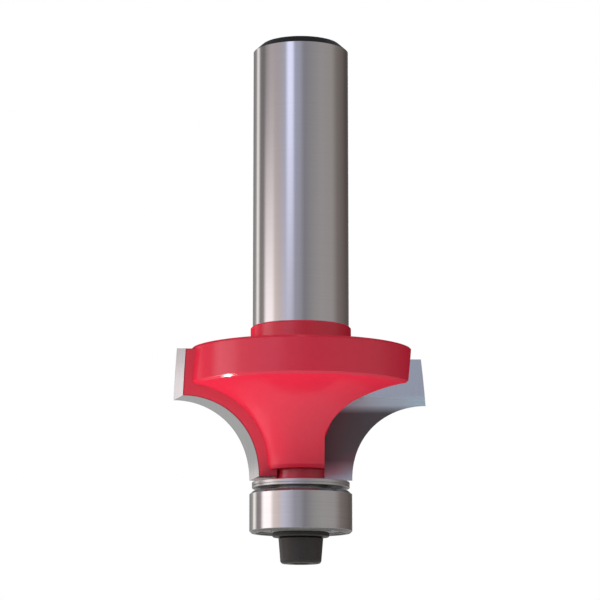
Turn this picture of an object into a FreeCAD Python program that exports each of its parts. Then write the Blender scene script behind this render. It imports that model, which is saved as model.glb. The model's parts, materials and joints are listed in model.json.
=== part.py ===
import FreeCAD, Part
import math
import os

# Router bit for rounding edges over: two brazed carbide tips on a steel body,
# with a ball bearing that rolls along the workpiece under the tips.
# Millimetres. The shank points up, +Z. The origin is on the axis, where the
# shank meets the top of the collar. The bit turns clockwise seen from above.

# Shank and collar
shank_diameter = 12.0
shank_length = 36.2
shank_chamfer_height = 0.95
shank_chamfer_width = 1.05
collar_diameter = 12.5
collar_height = 3.03
collar_chamfer = 0.2

# Disc under the collar, and the hollow cone under the disc
disc_diameter = 28.3
disc_top_chamfer = 0.3
disc_rim_chamfer_height = 0.3
disc_rim_chamfer_width = 0.26

# Cutting profile: a quarter round below a straight edge
roundover_radius = 9.525
pilot_radius = 6.35
tip_height = 15.8
roundover_lift = 0.1
head_bottom_drop = 19.1
cone_behind_edge = 1.96
cone_foot_radius = 4.5
cone_foot_bevel_height = 0.45
cone_foot_bevel_width = 0.3

# Tips: leaned rake face, and relief behind the edge for each mm of depth
tip_count = 2
rake_lean_deg = 16.5
tip_depth = 1.5
tip_relief_in = 0.8
tip_relief_up = 0.27
wing_relief_in = 3.0
wing_relief_up = 3.0
wing_depth = 0.9
top_relief_deg = 9.5
tip_inner_bottom = 2.9
tip_inner_top = 7.2
tip_inner_straight = 5.2

# Gullets in front of the tips
gullet_width = 8.8
gullet_corner_radius = 2.8

# Neck and spigot that carries the bearing
neck_diameter = 6.0
spigot_diameter = 4.70
spigot_short_of_bearing = 0.2
screw_hole_depth = 9.0
drill_point_deg = 118.0

# Shield washer between the tips and the bearing
washer_gap = 0.2
shield_washer_diameter = 12.07
shield_washer_thickness = 0.78
shield_washer_edge = 0.08
washer_groove_up = 0.25
washer_groove_height = 0.12
washer_groove_depth = 0.2
shield_washer_bore_gap = 0.06
washer_boss_diameter = 6.6
washer_boss_height = 0.38

# Ball bearing
bearing_outside_diameter = 12.7
bearing_width = 5.1
bearing_bore_gap = 0.03
outer_ring_top_chamfer = 0.36
outer_ring_bottom_chamfer = 0.26
inner_ring_chamfer = 0.2
outer_land_diameter = 10.4
inner_land_diameter = 7.2
ball_count = 7
ball_diameter = 2.381
pitch_diameter = 8.731
groove_clearance = 0.03
cage_width = 0.73
cage_pocket_gap = 0.06
cage_ring_drop = 1.6
cage_finger_rise = 0.5
shield_thickness = 0.22
shield_dish = 0.12
shield_dish_inset = 0.55
shield_bore_gap = 0.15
shield_recess_depth = 0.62
shield_recess_step = 0.35
shield_seat_gap = 0.02
wire_thickness = 0.28
wire_radial_width = 0.45
wire_gap_deg = 24.0
wire_groove_depth = 0.15

# Washer and screw that hold the bearing
retaining_washer_diameter = 7.0
retaining_washer_thickness = 0.49
retaining_washer_edge = 0.1
screw_diameter = 3.0
screw_length = 8.0
screw_tip_chamfer = 0.4
screw_head_diameter = 5.5
screw_head_end_diameter = 5.0
screw_head_height = 3.25
screw_head_round = 0.4
screw_head_top_chamfer = 0.2
hex_sides = 6
hex_across_flats = 2.5
hex_socket_depth = 1.6
hex_socket_cone_depth = 0.35
washer_bore_gap = 0.1
thread_gap = 0.02

# Heights that follow, measured along the axis from the origin
disc_top = -collar_height
head_bottom = -head_bottom_drop
tip_top = head_bottom + tip_height
roundover_centre_z = head_bottom + roundover_lift
washer_top = head_bottom - washer_gap
washer_bottom = washer_top - shield_washer_thickness
bearing_top = washer_bottom - washer_boss_height
bearing_bottom = bearing_top - bearing_width
bearing_mid = (bearing_top + bearing_bottom) / 2
spigot_bottom = bearing_bottom + spigot_short_of_bearing
retainer_bottom = bearing_bottom - retaining_washer_thickness
screw_end = retainer_bottom - screw_head_height
cutting_radius = pilot_radius + roundover_radius
shield_recess_radius = outer_land_diameter / 2 + shield_recess_step

# Working values: how far cutting shapes reach past the part, and when two places are the same
edge_clear = 3.0
same_place = 1e-6
axis = FreeCAD.Vector(0, 0, 1)


def point(x, z):
    return FreeCAD.Vector(x, 0, z)


def line(a, b):
    return Part.makeLine(point(*a), point(*b))


def arc(a, middle, b):
    return Part.Arc(point(*a), point(*middle), point(*b)).toShape()


def turned(edges):
    # a closed half section, turned about the axis
    face = Part.Face(Part.Wire(edges))
    return face.revolve(FreeCAD.Vector(0, 0, 0), axis, 360)


def turned_outline(corners):
    closed = corners + corners[:1]
    return turned([line(a, b) for a, b in zip(closed[:-1], closed[1:])])


def tube(outer_radius, inner_radius, bottom, top):
    return turned_outline([(inner_radius, bottom), (outer_radius, bottom), (outer_radius, top), (inner_radius, top)])


def circle_edges(solid, radius, height):
    # the round edges of one radius at one height
    found = []
    for edge in solid.Edges:
        curve = edge.Curve
        if isinstance(curve, Part.Circle) and abs(curve.Radius - radius) < same_place:
            if abs(curve.Center.z - height) < same_place:
                found.append(edge)
    return found


def turn_copy(solid, number, count):
    copy = solid.copy()
    copy.rotate(FreeCAD.Vector(0, 0, 0), axis, 360.0 * number / count)
    return copy


def arc_height(radius_out, curve_radius):
    # height of a quarter round of the given radius at a distance from the axis
    reach = cutting_radius - radius_out
    return roundover_centre_z + math.sqrt(curve_radius ** 2 - reach ** 2)


def cone_arc():
    # the hollow cone keeps one distance behind the cutting edge
    curve_radius = roundover_radius + cone_behind_edge
    rim = disc_diameter / 2 - disc_rim_chamfer_width
    middle = (rim + cone_foot_radius) / 2
    ends = [(r, arc_height(r, curve_radius)) for r in (rim, middle, cone_foot_radius)]
    return ends


def turned_body():
    shank_radius = shank_diameter / 2
    collar_radius = collar_diameter / 2
    disc_radius = disc_diameter / 2
    neck_radius = neck_diameter / 2
    spigot_radius = spigot_diameter / 2
    rim_point, cone_middle, foot_point = cone_arc()
    bevel_point = (cone_foot_radius - cone_foot_bevel_width, foot_point[1] - cone_foot_bevel_height)
    upper = [
        (0, shank_length),
        (shank_radius - shank_chamfer_width, shank_length),
        (shank_radius, shank_length - shank_chamfer_height),
        (shank_radius, 0),
        (collar_radius - collar_chamfer, 0),
        (collar_radius, -collar_chamfer),
        (collar_radius, disc_top),
        (disc_radius - disc_top_chamfer, disc_top),
        (disc_radius, disc_top - disc_top_chamfer),
        (disc_radius, rim_point[1] + disc_rim_chamfer_height),
        rim_point,
    ]
    lower = [
        foot_point,
        bevel_point,
        (neck_radius, bevel_point[1]),
        (neck_radius, washer_top),
        (spigot_radius, washer_top),
        (spigot_radius, spigot_bottom),
        (0, spigot_bottom),
        (0, shank_length),
    ]
    edges = [line(a, b) for a, b in zip(upper[:-1], upper[1:])]
    edges.append(arc(rim_point, cone_middle, foot_point))
    edges += [line(a, b) for a, b in zip(lower[:-1], lower[1:])]
    return turned(edges)


def cutting_sweep(bottom):
    # the space that the turning tips sweep: the cut profile turned about the axis
    start = (pilot_radius, bottom)
    arc_start = (pilot_radius, roundover_centre_z)
    arc_end = (cutting_radius, roundover_centre_z + roundover_radius)
    half = math.radians(45)
    middle = (
        cutting_radius - roundover_radius * math.cos(half),
        roundover_centre_z + roundover_radius * math.sin(half),
    )
    return turned([
        line((0, bottom), start),
        line(start, arc_start),
        arc(arc_start, middle, arc_end),
        line(arc_end, (cutting_radius, tip_top)),
        line((cutting_radius, tip_top), (0, tip_top)),
        line((0, tip_top), (0, bottom)),
    ])


def on_rake_plane(x, z):
    # the rake plane leans back from the bottom of the head, away from the cut
    lean = math.tan(math.radians(rake_lean_deg))
    return FreeCAD.Vector(x, (z - head_bottom) * lean, z)


def inner_line(top, bottom):
    # inner side of a tip on the rake plane: upright at the neck, then leaning out past the collar
    slope = (tip_inner_top - tip_inner_bottom) / (tip_height - tip_inner_straight)
    bend = head_bottom + tip_inner_straight
    return [
        on_rake_plane(tip_inner_bottom + slope * (top - bend), top),
        on_rake_plane(tip_inner_bottom, bend),
        on_rake_plane(tip_inner_bottom, bottom),
    ]


def rake_face(top, bottom):
    # the rake plane from the inner line out past the cutting circle
    outside = cutting_radius + edge_clear
    corners = inner_line(top, bottom) + [on_rake_plane(outside, bottom), on_rake_plane(outside, top)]
    return Part.Face(Part.makePolygon(corners + corners[:1]))


def edge_face(bottom):
    # part of the rake plane inside the swept profile: its outer side is the cutting edge
    return rake_face(tip_top, bottom).common(cutting_sweep(bottom)).Faces[0]


def relief_step(depth, relief_in, relief_up):
    return FreeCAD.Vector(-relief_in * depth, depth, relief_up * depth)


def side_prism(corners):
    # an outline of depths and heights, carried out from the axis past the cutting circle
    outline = [FreeCAD.Vector(0, y, z) for y, z in corners + corners[:1]]
    return Part.Face(Part.makePolygon(outline)).extrude(FreeCAD.Vector(cutting_radius + edge_clear, 0, 0))


def above_top_relief():
    # what is ground off above the top edge, which falls away behind the rake face
    edge = on_rake_plane(0, tip_top)
    reach = cutting_radius + edge_clear
    fall = math.tan(math.radians(top_relief_deg)) * reach
    return side_prism([
        (edge.y - edge_clear, edge.z),
        (edge.y, edge.z),
        (edge.y + reach, edge.z - fall),
        (edge.y + reach, edge.z + edge_clear),
        (edge.y - edge_clear, edge.z + edge_clear),
    ])


def below_bottom_relief():
    # what is cut off below the wing, whose underside goes on from the tip's
    reach = cutting_radius + edge_clear
    rise = tip_relief_up * reach
    return side_prism([
        (0, head_bottom),
        (reach, head_bottom + rise),
        (reach, head_bottom - 2 * edge_clear),
        (0, head_bottom - 2 * edge_clear),
    ])


def carbide_tip():
    # the edge swept back along its relief, inside a plate with upright sides
    ground = edge_face(head_bottom).extrude(relief_step(tip_depth, tip_relief_in, tip_relief_up))
    plate = rake_face(tip_top + edge_clear, head_bottom).extrude(FreeCAD.Vector(0, tip_depth, 0))
    return ground.common(plate).cut(above_top_relief())


def wing():
    # steel behind a tip, cut back steeply until it runs out into the disc and the cone
    back = edge_face(head_bottom - edge_clear)
    back.translate(relief_step(tip_depth, tip_relief_in, tip_relief_up))
    behind = back.extrude(relief_step(wing_depth, wing_relief_in, wing_relief_up))
    reach = cutting_radius + edge_clear
    height = tip_height + 2 * edge_clear
    outside = Part.makeBox(reach, reach, height, FreeCAD.Vector(tip_inner_bottom, 0, head_bottom - edge_clear))
    return behind.common(outside).cut(above_top_relief()).cut(below_bottom_relief())


def gullet():
    # open space in front of a rake face, closed by a wall that lies along it
    opening = rake_face(tip_top + edge_clear, head_bottom - edge_clear)
    space = opening.extrude(FreeCAD.Vector(0, -gullet_width, 0))
    inner_corners = []
    for edge in space.Edges:
        middle = edge.CenterOfMass
        wall = on_rake_plane(middle.x, middle.z).y - gullet_width
        rise = abs(edge.Vertexes[1].Z - edge.Vertexes[0].Z)
        if abs(middle.y - wall) < same_place and rise > same_place and middle.x < cutting_radius:
            inner_corners.append(edge)
    return space.makeFillet(gullet_corner_radius, inner_corners)


def screw_hole():
    radius = screw_diameter / 2 + thread_gap
    point_height = radius / math.tan(math.radians(drill_point_deg / 2))
    top = spigot_bottom + screw_hole_depth
    return turned_outline([(0, spigot_bottom), (radius, spigot_bottom), (radius, top), (0, top + point_height)])


def body():
    solid = turned_body()
    for number in range(tip_count):
        solid = solid.fuse(turn_copy(wing(), number, tip_count))
    for number in range(tip_count):
        solid = solid.cut(turn_copy(gullet(), number, tip_count))
        solid = solid.cut(turn_copy(carbide_tip(), number, tip_count))
    solid = solid.cut(screw_hole())
    return solid.removeSplitter()


def shield_washer():
    # a plate with a groove round its rim, on a low boss that bears on the inner ring
    radius = shield_washer_diameter / 2
    bore_radius = spigot_diameter / 2 + shield_washer_bore_gap
    ring = tube(radius, bore_radius, washer_bottom, washer_top)
    rims = circle_edges(ring, radius, washer_top) + circle_edges(ring, radius, washer_bottom)
    ring = ring.makeChamfer(shield_washer_edge, rims)
    groove_bottom = washer_bottom + washer_groove_up
    groove_top = groove_bottom + washer_groove_height
    ring = ring.cut(tube(radius + edge_clear, radius - washer_groove_depth, groove_bottom, groove_top))
    boss = tube(washer_boss_diameter / 2, bore_radius, bearing_top, washer_bottom)
    return ring.fuse(boss).removeSplitter()


def ball_groove():
    return Part.makeTorus(
        pitch_diameter / 2,
        ball_diameter / 2 + groove_clearance,
        FreeCAD.Vector(0, 0, bearing_mid),
    )


def outer_ring():
    radius = bearing_outside_diameter / 2
    ring = tube(radius, outer_land_diameter / 2, bearing_bottom, bearing_top)
    ring = ring.makeChamfer(outer_ring_top_chamfer, circle_edges(ring, radius, bearing_top))
    ring = ring.makeChamfer(outer_ring_bottom_chamfer, circle_edges(ring, radius, bearing_bottom))
    ring = ring.cut(ball_groove())
    for face, inward in ((bearing_top, -1), (bearing_bottom, 1)):
        floor = face + inward * shield_recess_depth
        groove_start = floor - inward * shield_thickness
        groove_end = groove_start - inward * wire_thickness
        ring = ring.cut(tube(shield_recess_radius, inner_land_diameter / 2, min(face, floor), max(face, floor)))
        groove = tube(
            shield_recess_radius + wire_groove_depth,
            outer_land_diameter / 2,
            min(groove_start, groove_end),
            max(groove_start, groove_end),
        )
        ring = ring.cut(groove)
    return ring


def inner_ring():
    bore_radius = spigot_diameter / 2 + bearing_bore_gap
    land_radius = inner_land_diameter / 2
    ring = tube(land_radius, bore_radius, bearing_bottom, bearing_top)
    corners = []
    for face in (bearing_top, bearing_bottom):
        corners += circle_edges(ring, land_radius, face)
    return ring.makeChamfer(inner_ring_chamfer, corners).cut(ball_groove())


def ball_centre(number):
    angle = 2 * math.pi * number / ball_count
    radius = pitch_diameter / 2
    return FreeCAD.Vector(radius * math.cos(angle), radius * math.sin(angle), bearing_mid)


def ball(number):
    return Part.makeSphere(ball_diameter / 2, ball_centre(number))


def ball_cage():
    # a crown midway between the two lands: a ring below the balls, with an open pocket for each
    middle_radius = (outer_land_diameter + inner_land_diameter) / 4
    outer_radius = middle_radius + cage_width / 2
    inner_radius = middle_radius - cage_width / 2
    cage = tube(outer_radius, inner_radius, bearing_mid - cage_ring_drop, bearing_mid + cage_finger_rise)
    for number in range(ball_count):
        outward = FreeCAD.Vector(*ball_centre(number))
        outward.z = 0
        start = FreeCAD.Vector(0, 0, bearing_mid)
        pocket_radius = ball_diameter / 2 + cage_pocket_gap
        cage = cage.cut(Part.makeCylinder(pocket_radius, bearing_outside_diameter / 2, start, outward))
    return cage


def bearing_shield(face, inward):
    # a dished ring: its rim lies in the recess, its middle stands a little outward
    seat = face + inward * shield_recess_depth
    outward = -inward
    rim_radius = shield_recess_radius - shield_seat_gap
    dish_radius = shield_recess_radius - shield_dish_inset
    bore_radius = inner_land_diameter / 2 + shield_bore_gap
    return turned_outline([
        (rim_radius, seat),
        (rim_radius, seat + outward * shield_thickness),
        (dish_radius, seat + outward * shield_thickness),
        (dish_radius - shield_dish, seat + outward * (shield_thickness + shield_dish)),
        (bore_radius, seat + outward * (shield_thickness + shield_dish)),
        (bore_radius, seat + outward * shield_dish),
        (dish_radius - shield_dish, seat + outward * shield_dish),
        (dish_radius, seat),
    ])


def snap_wire(face, inward):
    # a split ring of square wire that springs into its groove
    bottom = face + inward * (shield_recess_depth - shield_thickness)
    top = bottom - inward * wire_thickness
    outer_radius = shield_recess_radius + wire_groove_depth - shield_seat_gap
    inner_radius = outer_radius - wire_radial_width
    corners = [(inner_radius, bottom), (outer_radius, bottom), (outer_radius, top), (inner_radius, top)]
    section = Part.Face(Part.makePolygon([point(x, z) for x, z in corners + corners[:1]]))
    return section.revolve(FreeCAD.Vector(0, 0, 0), axis, 360 - wire_gap_deg)


def retaining_washer():
    radius = retaining_washer_diameter / 2
    ring = tube(radius, screw_diameter / 2 + washer_bore_gap, retainer_bottom, bearing_bottom)
    rims = circle_edges(ring, radius, retainer_bottom)
    return ring.makeChamfer(retaining_washer_edge, rims)


def hex_socket():
    corner_radius = hex_across_flats / 2 / math.cos(math.pi / hex_sides)
    corners = []
    for number in range(hex_sides + 1):
        angle = 2 * math.pi * number / hex_sides
        corners.append(FreeCAD.Vector(corner_radius * math.cos(angle), corner_radius * math.sin(angle), screw_end))
    flats = Part.Face(Part.makePolygon(corners)).extrude(FreeCAD.Vector(0, 0, hex_socket_depth))
    floor = screw_end + hex_socket_depth
    half = hex_across_flats / 2
    cone = turned_outline([(0, floor), (half, floor), (0, floor + hex_socket_cone_depth)])
    return flats.fuse(cone)


def socket_screw():
    head_radius = screw_head_diameter / 2
    end_radius = screw_head_end_diameter / 2
    shank_radius = screw_diameter / 2
    screw_top = retainer_bottom + screw_length
    screw = turned_outline([
        (0, screw_end),
        (end_radius, screw_end),
        (head_radius, retainer_bottom - screw_head_top_chamfer),
        (head_radius - screw_head_top_chamfer, retainer_bottom),
        (shank_radius, retainer_bottom),
        (shank_radius, screw_top - screw_tip_chamfer),
        (shank_radius - screw_tip_chamfer, screw_top),
        (0, screw_top),
    ])
    screw = screw.makeFillet(screw_head_round, circle_edges(screw, end_radius, screw_end))
    return screw.cut(hex_socket())


def pieces():
    made = {"body": body()}
    for number in range(tip_count):
        made["carbide_tip_%d" % (number + 1)] = turn_copy(carbide_tip(), number, tip_count)
    made["shield_washer"] = shield_washer()
    made["bearing_outer_ring"] = outer_ring()
    made["bearing_inner_ring"] = inner_ring()
    for number in range(ball_count):
        made["ball_%d" % (number + 1)] = ball(number)
    made["ball_cage"] = ball_cage()
    for name, face, inward in (("upper", bearing_top, -1), ("lower", bearing_bottom, 1)):
        made[name + "_bearing_shield"] = bearing_shield(face, inward)
        made[name + "_snap_wire"] = snap_wire(face, inward)
    made["retaining_washer"] = retaining_washer()
    made["socket_screw"] = socket_screw()
    return made


os.makedirs("parts", exist_ok=True)
for name, solid in pieces().items():
    solid.exportStep("parts/" + name + ".step")
    print(name, "solids", len(solid.Solids), "valid", solid.isValid(), "volume", round(solid.Volume, 3))
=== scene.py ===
import bpy
import json
import math
import numpy as np
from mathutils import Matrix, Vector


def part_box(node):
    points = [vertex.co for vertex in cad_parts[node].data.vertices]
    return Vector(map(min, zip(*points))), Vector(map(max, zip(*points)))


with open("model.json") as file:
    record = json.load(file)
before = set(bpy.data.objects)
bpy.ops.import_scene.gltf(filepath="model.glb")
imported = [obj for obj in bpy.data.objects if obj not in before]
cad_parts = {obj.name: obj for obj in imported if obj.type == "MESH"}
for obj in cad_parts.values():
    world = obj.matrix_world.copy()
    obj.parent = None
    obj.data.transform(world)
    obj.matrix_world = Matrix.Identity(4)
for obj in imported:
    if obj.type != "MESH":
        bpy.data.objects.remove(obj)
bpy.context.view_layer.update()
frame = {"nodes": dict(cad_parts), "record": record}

nodes = frame["nodes"]
mm = 0.001
print("frame loaded:", len(nodes), "nodes")

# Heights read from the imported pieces, in metres
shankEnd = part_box("body")[1].z
ringLow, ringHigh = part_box("bearing_outer_ring")


# Small helpers for shader nodes

def addNode(tree, kind, place, **values):
    node = tree.nodes.new(kind)
    node.location = place
    for name, value in values.items():
        setattr(node, name, value)
    return node


def mathNode(tree, operation, place, first, second=None, third=None):
    node = addNode(tree, "ShaderNodeMath", place, operation=operation)
    for index, value in enumerate((first, second, third)):
        if value is None:
            continue
        if isinstance(value, (int, float)):
            node.inputs[index].default_value = value
        else:
            tree.links.new(value, node.inputs[index])
    return node.outputs[0]


def mixColour(tree, place, factor, first, second, blend="MIX"):
    node = addNode(tree, "ShaderNodeMix", place, data_type="RGBA", blend_type=blend)
    for socket, value in ((node.inputs[0], factor), (node.inputs[6], first), (node.inputs[7], second)):
        if hasattr(value, "links"):
            tree.links.new(value, socket)
        elif isinstance(value, (int, float)):
            socket.default_value = value
        else:
            socket.default_value = (*value, 1.0)
    return node.outputs[2]


def mixValue(tree, place, factor, first, second):
    node = addNode(tree, "ShaderNodeMix", place, data_type="FLOAT")
    for socket, value in ((node.inputs[0], factor), (node.inputs[2], first), (node.inputs[3], second)):
        if hasattr(value, "links"):
            tree.links.new(value, socket)
        else:
            socket.default_value = value
    return node.outputs[0]


# Climbs from the lowest value at the start to 1 at the full mark
def risingMask(tree, place, value, start, full, lowest=0.0):
    node = addNode(tree, "ShaderNodeMapRange", place)
    node.inputs["From Min"].default_value = start
    node.inputs["From Max"].default_value = full
    node.inputs["To Min"].default_value = lowest
    tree.links.new(value, node.inputs["Value"])
    return node.outputs[0]


def mixShader(tree, place, share, first, second):
    node = addNode(tree, "ShaderNodeMixShader", place)
    tree.links.new(share, node.inputs[0])
    tree.links.new(first, node.inputs[1])
    tree.links.new(second, node.inputs[2])
    return node.outputs[0]


def addBump(tree, shader, place, height, normal, settings):
    node = addNode(tree, "ShaderNodeBump", place)
    node.inputs["Strength"].default_value = settings["bump"]
    node.inputs["Distance"].default_value = settings["bumpDepth"]
    tree.links.new(height, node.inputs["Height"])
    tree.links.new(normal, node.inputs["Normal"])
    tree.links.new(node.outputs[0], shader.inputs["Normal"])


def newGroup(name, inputs, outputs):
    group = bpy.data.node_groups.new(name, "ShaderNodeTree")
    for label, kind, value in inputs:
        socket = group.interface.new_socket(name=label, in_out="INPUT", socket_type=kind)
        socket.default_value = value
    for label, kind in outputs:
        group.interface.new_socket(name=label, in_out="OUTPUT", socket_type=kind)
    start = addNode(group, "NodeGroupInput", (-900, 0))
    end = addNode(group, "NodeGroupOutput", (700, 0))
    return group, start.outputs, end.inputs


def placeGroup(tree, group, place, values):
    node = addNode(tree, "ShaderNodeGroup", place, node_tree=group)
    for label, value in values.items():
        socket = node.inputs[label]
        if hasattr(value, "links"):
            tree.links.new(value, socket)
        else:
            socket.default_value = value
    return node


# Grinding and turning lines: noise drawn out along two directions and packed close along the third

laySettings = {
    "lineDetail": 3.0,
    "fleckDetail": 2.0,
    "lineShare": 0.65,
    "fleckShare": 0.35,
}


def makeLayGroup():
    group, given, out = newGroup(
        "grindLay",
        [
            ("Coordinates", "NodeSocketVector", (0, 0, 0)),
            ("Stretch", "NodeSocketVector", (200, 200, 9000)),
            ("Fleck size", "NodeSocketFloat", 1500.0),
        ],
        [("Height", "NodeSocketFloat"), ("Shade", "NodeSocketFloat")],
    )
    scaled = addNode(group, "ShaderNodeVectorMath", (-650, 80), operation="MULTIPLY")
    group.links.new(given["Coordinates"], scaled.inputs[0])
    group.links.new(given["Stretch"], scaled.inputs[1])
    lines = addNode(group, "ShaderNodeTexNoise", (-430, 120))
    lines.inputs["Scale"].default_value = 1.0  # the stretch alone sets their spacing
    lines.inputs["Detail"].default_value = laySettings["lineDetail"]
    group.links.new(scaled.outputs[0], lines.inputs["Vector"])
    flecks = addNode(group, "ShaderNodeTexNoise", (-430, -180))
    flecks.inputs["Detail"].default_value = laySettings["fleckDetail"]
    group.links.new(given["Coordinates"], flecks.inputs["Vector"])
    group.links.new(given["Fleck size"], flecks.inputs["Scale"])
    faded = mathNode(group, "MULTIPLY", (-200, -180), flecks.outputs["Fac"], laySettings["fleckShare"])
    total = mathNode(group, "MULTIPLY_ADD", (0, 60), lines.outputs["Fac"], laySettings["lineShare"], faded)
    group.links.new(total, out["Height"])
    group.links.new(lines.outputs["Fac"], out["Shade"])
    return group


# Wear and light on edges: how far the rounded normal turns from the flat one

edgeSettings = {
    "samples": 6,
    "gain": 9.0,
}


def makeEdgeGroup():
    group, given, out = newGroup(
        "edgeWear",
        [
            ("Edge width", "NodeSocketFloat", 0.08 * mm),
            ("Wear", "NodeSocketFloat", 0.6),
            ("Coordinates", "NodeSocketVector", (0, 0, 0)),
            ("Patch size", "NodeSocketFloat", 900.0),
        ],
        [("Normal", "NodeSocketVector"), ("Mask", "NodeSocketFloat")],
    )
    rounded = addNode(group, "ShaderNodeBevel", (-650, 120), samples=edgeSettings["samples"])
    group.links.new(given["Edge width"], rounded.inputs["Radius"])
    flat = addNode(group, "ShaderNodeNewGeometry", (-650, -80))
    dot = addNode(group, "ShaderNodeVectorMath", (-430, 60), operation="DOT_PRODUCT")
    group.links.new(rounded.outputs[0], dot.inputs[0])
    group.links.new(flat.outputs["Normal"], dot.inputs[1])
    turned = mathNode(group, "SUBTRACT", (-240, 60), 1.0, dot.outputs["Value"])
    strong = mathNode(group, "MULTIPLY", (-60, 60), turned, edgeSettings["gain"])
    patches = addNode(group, "ShaderNodeTexNoise", (-430, -220))
    group.links.new(given["Coordinates"], patches.inputs["Vector"])
    group.links.new(given["Patch size"], patches.inputs["Scale"])
    broken = mathNode(group, "MULTIPLY", (120, 0), strong, patches.outputs["Fac"])
    worn = mathNode(group, "MULTIPLY", (300, 0), broken, given["Wear"])
    clamped = addNode(group, "ShaderNodeClamp", (480, 0))
    group.links.new(worn, clamped.inputs[0])
    group.links.new(rounded.outputs[0], out["Normal"])
    group.links.new(clamped.outputs[0], out["Mask"])
    return group


# Height mask: 0 under a level, 1 over it, with a soft step between

zoneSoftness = 0.04 * mm


def makeZoneGroup():
    group, given, out = newGroup(
        "heightZone",
        [
            ("Coordinates", "NodeSocketVector", (0, 0, 0)),
            ("Level", "NodeSocketFloat", 0.0),
            ("Softness", "NodeSocketFloat", zoneSoftness),
        ],
        [("Mask", "NodeSocketFloat")],
    )
    split = addNode(group, "ShaderNodeSeparateXYZ", (-650, 0))
    group.links.new(given["Coordinates"], split.inputs[0])
    above = mathNode(group, "SUBTRACT", (-430, 0), split.outputs["Z"], given["Level"])
    steep = mathNode(group, "DIVIDE", (-240, 0), above, given["Softness"])
    middle = mathNode(group, "ADD", (-60, 0), steep, 0.5)
    clamped = addNode(group, "ShaderNodeClamp", (140, 0))
    group.links.new(middle, clamped.inputs[0])
    group.links.new(clamped.outputs[0], out["Mask"])
    return group


layGroup = makeLayGroup()
edgeGroup = makeEdgeGroup()
zoneGroup = makeZoneGroup()
print("shader groups built")


def placeLay(tree, place, coordinates, settings):
    values = {"Coordinates": coordinates, "Stretch": settings["stretch"], "Fleck size": settings["fleckSize"]}
    return placeGroup(tree, layGroup, place, values)


def placeEdge(tree, place, coordinates, settings):
    values = {"Coordinates": coordinates, "Wear": settings["wear"], "Edge width": settings["edgeWidth"],
              "Patch size": settings["patchSize"]}
    return placeGroup(tree, edgeGroup, place, values)


def placeZone(tree, place, coordinates, level, softness=zoneSoftness):
    values = {"Coordinates": coordinates, "Level": level, "Softness": softness}
    return placeGroup(tree, zoneGroup, place, values).outputs["Mask"]


def startMaterial(name):
    material = bpy.data.materials.new(name)
    material.use_nodes = True
    tree = material.node_tree
    tree.nodes.clear()
    shader = addNode(tree, "ShaderNodeBsdfPrincipled", (600, 0))
    output = addNode(tree, "ShaderNodeOutputMaterial", (900, 0))
    tree.links.new(shader.outputs[0], output.inputs["Surface"])
    coordinates = addNode(tree, "ShaderNodeTexCoord", (-1200, 0)).outputs["Object"]
    return material, tree, shader, coordinates


# One recipe for every metal piece but the body
def metalMaterial(name, settings):
    material, tree, shader, coordinates = startMaterial(name)
    lay = placeLay(tree, (-800, 100), coordinates, settings)
    edge = placeEdge(tree, (-800, -250), coordinates, settings)
    tone = mixColour(tree, (-300, 200), lay.outputs["Shade"], settings["darkTone"], settings["lightTone"])
    worn = mixColour(tree, (0, 200), edge.outputs["Mask"], tone, settings["edgeTone"])
    tree.links.new(worn, shader.inputs["Base Color"])
    rough = mixValue(tree, (-300, 0), lay.outputs["Shade"], settings["roughLow"], settings["roughHigh"])
    tree.links.new(rough, shader.inputs["Roughness"])
    shader.inputs["Metallic"].default_value = settings["metallic"]
    addBump(tree, shader, (300, -200), lay.outputs["Height"], edge.outputs["Normal"], settings)
    if "residueTone" in settings:
        addResidue(tree, shader, coordinates, worn, settings)
    if "endTone" in settings:
        addDullEnds(tree, shader, coordinates, worn, settings)
    return material


# Painted reflection on the tips' faces that look along Y: a pale blue-grey painted reflection of the room at
# the top, then a dark painted reflection of the shaded gullet lower down, and both fade at the foot
# Every other face of a tip is painted brighter, a painted highlight standing for its brighter reflection
def addResidue(tree, shader, coordinates, tone, settings):
    facing = addNode(tree, "ShaderNodeTexCoord", (-1200, -600)).outputs["Normal"]
    split = addNode(tree, "ShaderNodeSeparateXYZ", (-1000, -600))
    tree.links.new(facing, split.inputs[0])
    along = mathNode(tree, "ABSOLUTE", (-800, -600), split.outputs["Y"])
    flat = mathNode(tree, "GREATER_THAN", (-600, -600), along, settings["flatLimit"])
    foot = placeZone(tree, (-800, -1000), coordinates, settings["residueFoot"], settings["residueFootSoft"])
    masks = []
    for row, level, softness in ((-800, "filmTop", "filmSoft"), (-1200, "residueTop", "residueSoft")):
        over = placeZone(tree, (-800, row), coordinates, settings[level], settings[softness])
        under = mathNode(tree, "SUBTRACT", (-600, row), 1.0, over)
        band = mathNode(tree, "MULTIPLY", (-400, row), under, foot)
        masks.append(mathNode(tree, "MULTIPLY", (-200, row), band, flat))
    film, residue = masks
    # Painted highlight: the faces that don't look along Y are made brighter than the cutting faces
    ground = mixColour(tree, (0, 400), 1.0, tone, settings["landGain"], blend="MULTIPLY")
    clean = mixColour(tree, (100, 400), flat, ground, tone)
    # Painted reflection: a pale tone high on the cutting faces and a dark, less metallic tone below it
    pale = mixColour(tree, (150, 350), film, clean, settings["filmTone"])
    dirty = mixColour(tree, (200, 300), residue, pale, settings["residueTone"])
    tree.links.new(dirty, shader.inputs["Base Color"])
    dull = mixValue(tree, (100, 100), film, settings["metallic"], settings["filmMetallic"])
    shine = mixValue(tree, (200, 100), residue, dull, settings["residueMetallic"])
    tree.links.new(shine, shader.inputs["Metallic"])


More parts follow.
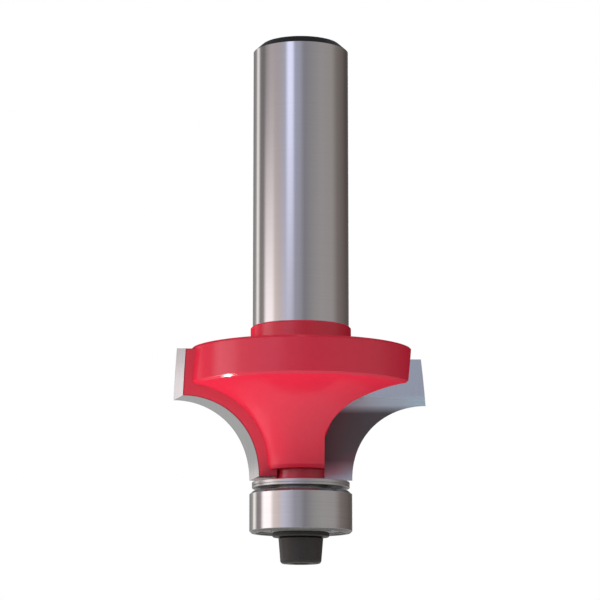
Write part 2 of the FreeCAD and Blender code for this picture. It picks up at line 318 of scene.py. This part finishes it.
# Painted shade: a darker, less metallic colour beyond two heights, on the chamfers where a ground rim ends,
# standing for their darker reflection
def addDullEnds(tree, shader, coordinates, tone, settings):
    over = placeZone(tree, (-800, -600), coordinates, settings["rimTop"])
    reached = placeZone(tree, (-800, -800), coordinates, settings["rimFoot"])
    under = mathNode(tree, "SUBTRACT", (-600, -800), 1.0, reached)
    mask = mathNode(tree, "MAXIMUM", (-400, -700), over, under)
    dull = mixColour(tree, (200, 300), mask, tone, settings["endTone"])
    tree.links.new(dull, shader.inputs["Base Color"])
    shine = mixValue(tree, (200, 100), mask, settings["metallic"], settings["endMetallic"])
    tree.links.new(shine, shader.inputs["Metallic"])


def metalSettings(**changes):
    settings = {
        "stretch": (120, 120, 14000),
        "fleckSize": 2500.0,
        "wear": 0.5,
        "edgeWidth": 0.05 * mm,
        "patchSize": 700.0,
        "darkTone": (0.50, 0.49, 0.48),
        "lightTone": (0.60, 0.59, 0.58),
        "edgeTone": (0.72, 0.71, 0.70),
        "roughLow": 0.22,
        "roughHigh": 0.32,
        "metallic": 1.0,
        "bump": 0.25,
        "bumpDepth": 0.004 * mm,
    }
    settings.update(changes)
    return settings


# Body: red coat under the collar's top, ground steel above it, near black on the shank's end
# The red's gloss comes from the coat layer alone and falls off at glancing angles

bodySettings = {
    "coatTone": (0.585, 0.021, 0.045),
    "coatDeepTone": (0.545, 0.018, 0.040),
    "coatRough": 0.22,
    "coatBlur": 0.17,  # roughness of the coat layer
    "coatGloss": 1.0,  # its weight seen straight on
    "coatGlance": 0.05,  # its weight at glancing angles
    "glanceStart": 0.30,
    "glanceFull": 0.64,
    "peelSize": 1400.0,
    "peelDetail": 2.0,
    "steelDark": (0.50, 0.485, 0.475),
    "steelLight": (0.60, 0.585, 0.575),
    "steelRough": 0.13,
    "scaleTone": (0.014, 0.012, 0.012),
    "scaleRough": 0.55,
    "coatTop": -0.02 * mm,  # heights at which the coat ends and the near black end begins
    "scaleStart": shankEnd - 0.97 * mm,
    "stretch": (30, 30, 16000),
    "fleckSize": 3000.0,
    "wear": 0.25,
    "edgeWidth": 0.07 * mm,
    "patchSize": 500.0,
    "bump": 0.2,
    "bumpDepth": 0.004 * mm,
}


def bodyMaterial():
    s = bodySettings
    material, tree, shader, coordinates = startMaterial("bodyCoatAndSteel")
    lay = placeLay(tree, (-800, 300), coordinates, s)
    peel = addNode(tree, "ShaderNodeTexNoise", (-800, 0))
    peel.inputs["Scale"].default_value = s["peelSize"]
    peel.inputs["Detail"].default_value = s["peelDetail"]
    tree.links.new(coordinates, peel.inputs["Vector"])
    edge = placeEdge(tree, (-800, -250), coordinates, s)
    steelZone = placeZone(tree, (-800, -500), coordinates, s["coatTop"])
    scaleZone = placeZone(tree, (-800, -700), coordinates, s["scaleStart"])
    coat = mixColour(tree, (-500, 100), peel.outputs["Fac"], s["coatDeepTone"], s["coatTone"])
    steel = mixColour(tree, (-500, 300), lay.outputs["Shade"], s["steelDark"], s["steelLight"])
    lower = mixColour(tree, (-250, 200), steelZone, coat, steel)
    whole = mixColour(tree, (0, 200), scaleZone, lower, s["scaleTone"])
    tree.links.new(whole, shader.inputs["Base Color"])
    tree.links.new(steelZone, shader.inputs["Metallic"])
    roughLower = mixValue(tree, (-250, -100), steelZone, s["coatRough"], s["steelRough"])
    roughWhole = mixValue(tree, (0, -100), scaleZone, roughLower, s["scaleRough"])
    tree.links.new(roughWhole, shader.inputs["Roughness"])
    facing = addNode(tree, "ShaderNodeLayerWeight", (-800, -900)).outputs["Facing"]
    glancing = risingMask(tree, (-600, -900), facing, s["glanceStart"], s["glanceFull"])
    coatShine = mixValue(tree, (-400, -900), glancing, s["coatGloss"], s["coatGlance"])
    gloss = mixValue(tree, (0, -300), steelZone, coatShine, 0.0)
    tree.links.new(gloss, shader.inputs["Coat Weight"])
    shader.inputs["Coat Roughness"].default_value = s["coatBlur"]
    shader.inputs["Specular IOR Level"].default_value = 0.0
    height = mixValue(tree, (0, -500), steelZone, peel.outputs["Fac"], lay.outputs["Height"])
    addBump(tree, shader, (300, -300), height, edge.outputs["Normal"], s)
    return material


carbideSettings = metalSettings(
    stretch=(7000, 500, 500), darkTone=(0.53, 0.53, 0.54), lightTone=(0.61, 0.61, 0.62),
    edgeTone=(0.78, 0.77, 0.75), roughLow=0.12, roughHigh=0.18, wear=0.8, edgeWidth=0.04 * mm, bump=0.12,
    # Painted highlight: the gain makes the faces that don't look along Y brighter
    flatLimit=0.9, landGain=(1.26, 1.26, 1.23),
    # Painted reflections on the cutting faces: a pale tone at the top and a dark tone lower down
    filmTone=(0.43, 0.55, 0.61), filmMetallic=0.0, filmTop=-8.3 * mm, filmSoft=0.8 * mm,
    residueTone=(0.125, 0.163, 0.170), residueMetallic=0.4, residueTop=-9.9 * mm, residueSoft=1.1 * mm,
    residueFoot=-18.0 * mm, residueFootSoft=3.0 * mm)
shieldWasherSettings = metalSettings(roughLow=0.24, roughHigh=0.34)
# The ring's chamfers carry a painted shade: a darker tone beyond two heights
bearingRingSettings = metalSettings(
    roughLow=0.09, roughHigh=0.14, bump=0.1, endTone=(0.17, 0.165, 0.16), endMetallic=0.7,
    rimTop=ringHigh.z - 0.33 * mm, rimFoot=ringLow.z + 0.24 * mm)
ballSettings = metalSettings(
    stretch=(700, 700, 700), roughLow=0.05, roughHigh=0.08, bump=0.02, darkTone=(0.66, 0.66, 0.67),
    lightTone=(0.70, 0.70, 0.71))
cageSettings = metalSettings(stretch=(900, 900, 900), roughLow=0.35, roughHigh=0.5)
bearingShieldSettings = metalSettings(
    stretch=(1200, 1200, 200), roughLow=0.3, roughHigh=0.42, darkTone=(0.38, 0.37, 0.36),
    lightTone=(0.46, 0.45, 0.44))
snapWireSettings = metalSettings(
    stretch=(300, 300, 6000), darkTone=(0.42, 0.41, 0.40), lightTone=(0.5, 0.49, 0.48))
blackOxideSettings = metalSettings(
    stretch=(900, 900, 3500), darkTone=(0.019, 0.016, 0.014), lightTone=(0.031, 0.027, 0.024),
    edgeTone=(0.12, 0.115, 0.11), roughLow=0.36, roughHigh=0.5, metallic=0.35, wear=0.6, bump=0.3)

finishes = {
    "red_coated_steel": bodyMaterial(),
    "carbide": metalMaterial("carbideGround", carbideSettings),
    "washer_steel": metalMaterial("shieldWasherSteel", shieldWasherSettings),
    "bearing_steel": metalMaterial("bearingRingSteel", bearingRingSettings),
    "ball_steel": metalMaterial("ballSteel", ballSettings),
    "cage_steel": metalMaterial("cageSteel", cageSettings),
    "shield_steel": metalMaterial("bearingShieldSteel", bearingShieldSettings),
    "wire_steel": metalMaterial("snapWireSteel", snapWireSettings),
    "black_steel": metalMaterial("blackOxideSteel", blackOxideSettings),
}

for row in frame["record"]["subparts"]:
    piece = nodes[row["node"]]
    piece.data.materials.clear()
    piece.data.materials.append(finishes[row["material_slot"]])
print("finishes placed on", len(nodes), "pieces")


# Room light by direction: degrees round from the front, each with its light
# Reflections that run level or downwards show the low bands, and those that rise show the high bands
highBands = [
    (-180, (0.20, 0.19, 0.19)), (-146, (0.34, 0.33, 0.33)), (-136, (0.45, 0.44, 0.44)),
    (-129, (1.35, 1.32, 1.32)), (-123, (1.15, 1.12, 1.12)), (-115, (0.30, 0.29, 0.29)),
    (-100, (0.25, 0.23, 0.24)), (-90, (0.46, 0.42, 0.44)), (-78, (0.61, 0.56, 0.58)),
    (-55, (0.61, 0.56, 0.60)), (-38, (0.60, 0.62, 0.76)), (-30, (1.40, 1.46, 1.95)),
    (-20, (1.35, 1.40, 1.86)), (-14, (0.56, 0.60, 0.80)), (-3, (0.55, 0.57, 0.71)),
    (8, (0.36, 0.36, 0.42)), (29, (0.43, 0.42, 0.45)), (50, (0.49, 0.47, 0.49)),
    (80, (0.47, 0.45, 0.43)), (98, (0.29, 0.26, 0.25)), (122, (0.20, 0.17, 0.16)),
    (140, (0.11, 0.09, 0.09)), (180, (0.14, 0.13, 0.13)),
]
lowBands = [
    (-180, (0.22, 0.21, 0.21)), (-146, (0.38, 0.37, 0.37)), (-136, (0.55, 0.53, 0.52)),
    (-129, (1.55, 1.50, 1.48)), (-123, (1.25, 1.20, 1.17)), (-115, (0.36, 0.32, 0.33)),
    (-101, (0.46, 0.41, 0.42)), (-95, (1.50, 1.38, 1.41)), (-90, (1.95, 1.80, 1.86)),
    (-72, (1.90, 1.74, 1.80)), (-64, (1.15, 1.00, 0.96)), (-50, (0.98, 0.86, 0.86)),
    (-40, (0.88, 0.88, 1.08)), (-24, (0.66, 0.66, 0.78)), (-13, (0.48, 0.47, 0.56)),
    (-3, (0.45, 0.45, 0.52)), (9, (0.33, 0.32, 0.36)), (29, (0.45, 0.44, 0.45)),
    (50, (0.51, 0.49, 0.50)), (80, (0.50, 0.47, 0.48)), (100, (0.30, 0.26, 0.25)),
    (122, (0.22, 0.19, 0.18)), (142, (0.15, 0.13, 0.12)), (180, (0.16, 0.15, 0.15)),
]
roomSettings = {
    "lowTop": 0.15,
    "highStart": 0.25,
    "skyStart": 0.42,
    "skyTone": (0.51, 0.58, 0.71),
    "skyShare": 0.62,
    "skyFull": 0.62,
    "zenithStart": 0.80,
    "zenithFull": 0.95,
    "zenithTone": (0.10, 0.10, 0.11),
    "backdropFrom": 169,
}


def bandRamp(tree, place, share, bands):
    node = addNode(tree, "ShaderNodeValToRGB", place)
    ramp = node.color_ramp
    while len(ramp.elements) > 1:
        ramp.elements.remove(ramp.elements[-1])
    for index, (angle, tone) in enumerate(bands):
        stop = ramp.elements[0] if index == 0 else ramp.elements.new((angle + 180) / 360)
        stop.position = (angle + 180) / 360
        stop.color = (*tone, 1)
    tree.links.new(share, node.inputs[0])
    return node.outputs[0]


# Turn round from the front, in radians, and its place on the bands, where the front is at a half
def turnShare(tree, split):
    forward = mathNode(tree, "MULTIPLY", (-1000, -100), split.outputs["Y"], -1.0)
    turn = mathNode(tree, "ARCTAN2", (-800, 0), split.outputs["X"], forward)
    return turn, mathNode(tree, "MULTIPLY_ADD", (-600, 0), turn, 0.5 / math.pi, 0.5)


# Studio: a pale floor close under the bit, a soft room around it

studio = {
    "floorHeight": -0.058,
    "floorReach": 3.0,
    "floorTone": (0.86, 0.86, 0.86),
    "floorRough": 0.7,
    "floorGloss": 0.2,
    "nearEdge": 0.13,  # reflections show plain pale floor up to here
    "farEdge": 0.50,  # and the room's bands from here on
    "nearWhite": 0.50,
    "cameraWhite": 0.5,  # share of plain white that the camera sees under the bit
    "fadeStart": 0.06,
    "fadeEnd": 0.40,  # the camera sees nothing but white from here on
    "bandLead": 4.0,  # degrees by which the floor's bands are turned against the room's
    "background": 1.0,
}


# Rays that metal or glass has sent on
def mirrorRay(tree, place, seen):
    bounced, passed = seen.outputs["Is Glossy Ray"], seen.outputs["Is Transmission Ray"]
    return mathNode(tree, "MAXIMUM", place, bounced, passed)


def makeFloor():
    s = studio
    mesh = bpy.data.meshes.new("studioFloor")
    corners = np.array([[-1, -1], [1, -1], [1, 1], [-1, 1]], float) * s["floorReach"]
    points = np.column_stack([corners, np.full(4, s["floorHeight"])])
    mesh.from_pydata(points.tolist(), [], [(0, 1, 2, 3)])
    floor = bpy.data.objects.new("studioFloor", mesh)
    bpy.context.scene.collection.objects.link(floor)
    material, tree, shader, coordinates = startMaterial("floorPale")
    shader.inputs["Base Color"].default_value = (*s["floorTone"], 1)
    shader.inputs["Roughness"].default_value = s["floorRough"]
    shader.inputs["Specular IOR Level"].default_value = s["floorGloss"]
    seen = addNode(tree, "ShaderNodeLightPath", (0, 500))
    side = addNode(tree, "ShaderNodeNewGeometry", (0, 700))
    split = addNode(tree, "ShaderNodeSeparateXYZ", (-1200, 200))
    tree.links.new(coordinates, split.inputs[0])
    ahead = mathNode(tree, "ADD", (-500, 0), turnShare(tree, split)[1], s["bandLead"] / 360)
    walls = bandRamp(tree, (-300, 0), ahead, lowBands)
    outward = addNode(tree, "ShaderNodeVectorMath", (-500, -300), operation="LENGTH")
    tree.links.new(coordinates, outward.inputs[0])
    distance = outward.outputs["Value"]
    distant = risingMask(tree, (-300, -300), distance, s["nearEdge"], s["farEdge"])
    near = (s["nearWhite"], s["nearWhite"], s["nearWhite"])
    inMirror = mixColour(tree, (0, -200), distant, near, walls)
    shown = mixColour(tree, (200, -200), seen.outputs["Is Camera Ray"], inMirror, (1.0, 1.0, 1.0))
    glow = addNode(tree, "ShaderNodeEmission", (600, -200))
    tree.links.new(shown, glow.inputs["Color"])
    mirrored = mirrorRay(tree, (200, 400), seen)
    fade = risingMask(tree, (0, 900), distance, s["fadeStart"], s["fadeEnd"], s["cameraWhite"])
    viewed = mathNode(tree, "MULTIPLY", (200, 600), seen.outputs["Is Camera Ray"], fade)
    share = mathNode(tree, "MAXIMUM", (400, 500), mirrored, viewed)
    lit = mixShader(tree, (800, 0), share, shader.outputs[0], glow.outputs[0])
    # From below the floor is clear, so that a camera under it still sees the part
    clear = addNode(tree, "ShaderNodeBsdfTransparent", (600, -400))
    under = side.outputs["Backfacing"]
    fromBelow = mathNode(tree, "MULTIPLY", (400, 700), seen.outputs["Is Camera Ray"], under)
    mixed = mixShader(tree, (1000, 100), fromBelow, lit, clear.outputs[0])
    output = [n for n in tree.nodes if n.type == "OUTPUT_MATERIAL"][0]
    tree.links.new(mixed, output.inputs["Surface"])
    mesh.materials.append(material)


def makeRoom():
    s = roomSettings
    world = bpy.data.worlds.new("studioRoom")
    bpy.context.scene.world = world
    world.use_nodes = True
    tree = world.node_tree
    tree.nodes.clear()
    direction = addNode(tree, "ShaderNodeTexCoord", (-1400, 0)).outputs["Generated"]
    split = addNode(tree, "ShaderNodeSeparateXYZ", (-1200, 0))
    tree.links.new(direction, split.inputs[0])
    rise = split.outputs["Z"]
    turn, share = turnShare(tree, split)
    low = bandRamp(tree, (-400, 100), share, lowBands)
    high = bandRamp(tree, (-400, -200), share, highBands)
    steep = risingMask(tree, (-400, -500), rise, s["lowTop"], s["highStart"])
    walls = mixColour(tree, (-100, 0), steep, low, high)
    skyMask = risingMask(tree, (-400, -750), rise, s["skyStart"], s["skyFull"])
    skyPart = mathNode(tree, "MULTIPLY", (-150, -750), skyMask, s["skyShare"])
    upper = mixColour(tree, (100, 0), skyPart, walls, s["skyTone"])
    zenithMask = risingMask(tree, (-400, -1000), rise, s["zenithStart"], s["zenithFull"])
    room = mixColour(tree, (300, 0), zenithMask, upper, s["zenithTone"])
    away = mathNode(tree, "ABSOLUTE", (-400, 500), turn)
    behind = mathNode(tree, "GREATER_THAN", (-200, 500), away, math.radians(s["backdropFrom"]))
    seen = addNode(tree, "ShaderNodeLightPath", (-200, 300))
    mirrored = mirrorRay(tree, (0, 300), seen)
    inMirror = mathNode(tree, "MULTIPLY", (150, 400), mirrored, behind)
    whiteShare = mathNode(tree, "MAXIMUM", (300, 300), inMirror, seen.outputs["Is Camera Ray"])
    white = studio["background"]
    shown = mixColour(tree, (500, 0), whiteShare, room, (white, white, white))
    background = addNode(tree, "ShaderNodeBackground", (700, 0))
    tree.links.new(shown, background.inputs["Color"])
    background.inputs["Strength"].default_value = 1.0
    output = addNode(tree, "ShaderNodeOutputWorld", (900, 0))
    tree.links.new(background.outputs[0], output.inputs["Surface"])


# Lamps: azimuth in degrees from the front, positive to the right
# The panels light the bit without showing in reflections, and the glint shows only in reflections
headMiddle = (0.0, 0.0, -0.010)


def panel(azimuth, elevation, distance, size, power, **changes):
    settings = {"azimuth": azimuth, "elevation": elevation, "distance": distance, "size": size,
                "power": power, "target": headMiddle, "spread": 180, "mirrored": False}
    settings.update(changes)
    return settings


lamps = {
    "frontPanel": panel(azimuth=-30, elevation=24, distance=0.45, size=0.20, power=0.15),
    "leftPanel": panel(azimuth=-85, elevation=28, distance=0.45, size=0.20, power=0.69),
    "lowLeftPanel": panel(azimuth=-110, elevation=-38, distance=0.066, size=0.035, power=0.008, spread=76),
    "topPanel": panel(azimuth=20, elevation=75, distance=0.60, size=0.50, power=0.9),
    "underPanel": panel(azimuth=0, elevation=-78, distance=0.046, size=0.08, power=0.031),
    "rimGlint": panel(azimuth=-108, elevation=-47.6, distance=0.055, size=0.006, power=0.000024,
                      target=(-0.0090, -0.0109, -0.0062), spread=9, mirrored=True),
}


def makeLamps():
    for name, s in lamps.items():
        light = bpy.data.lights.new(name, "AREA")
        light.shape = "SQUARE"
        light.size = s["size"]
        light.energy = s["power"]
        light.spread = math.radians(s["spread"])
        lamp = bpy.data.objects.new(name, light)
        azimuth, elevation = math.radians(s["azimuth"]), math.radians(s["elevation"])
        level = s["distance"] * math.cos(elevation)
        height = s["distance"] * math.sin(elevation)
        place = np.array([level * math.sin(azimuth), -level * math.cos(azimuth), height])
        lamp.location = place + np.array(s["target"])
        lamp.rotation_euler = (math.radians(90 - s["elevation"]), 0, azimuth)
        lamp.visible_camera = False
        lamp.visible_glossy = s["mirrored"]
        lamp.visible_diffuse = not s["mirrored"]
        bpy.context.scene.collection.objects.link(lamp)


# Camera: a long lens, low in front of the bit and tilted up
view = {
    "distance": 0.295,
    "height": -0.04747,
    "tiltUp": 9.804,
    "turn": 0.019,
    "lens": 143.87,
    "sensor": 36.0,
    "nearClip": 0.01,
}


def makeCamera():
    data = bpy.data.cameras.new("photoCamera")
    data.lens = view["lens"]
    data.sensor_width = view["sensor"]
    data.sensor_fit = "HORIZONTAL"
    data.clip_start = view["nearClip"]
    camera = bpy.data.objects.new("photoCamera", data)
    camera.location = (0, -view["distance"], view["height"])
    camera.rotation_euler = (math.radians(90 + view["tiltUp"]), 0, math.radians(view["turn"]))
    bpy.context.scene.collection.objects.link(camera)
    bpy.context.scene.camera = camera


makeFloor()
makeRoom()
makeLamps()
makeCamera()
bpy.context.scene.view_settings.view_transform = "Standard"
print("studio ready")
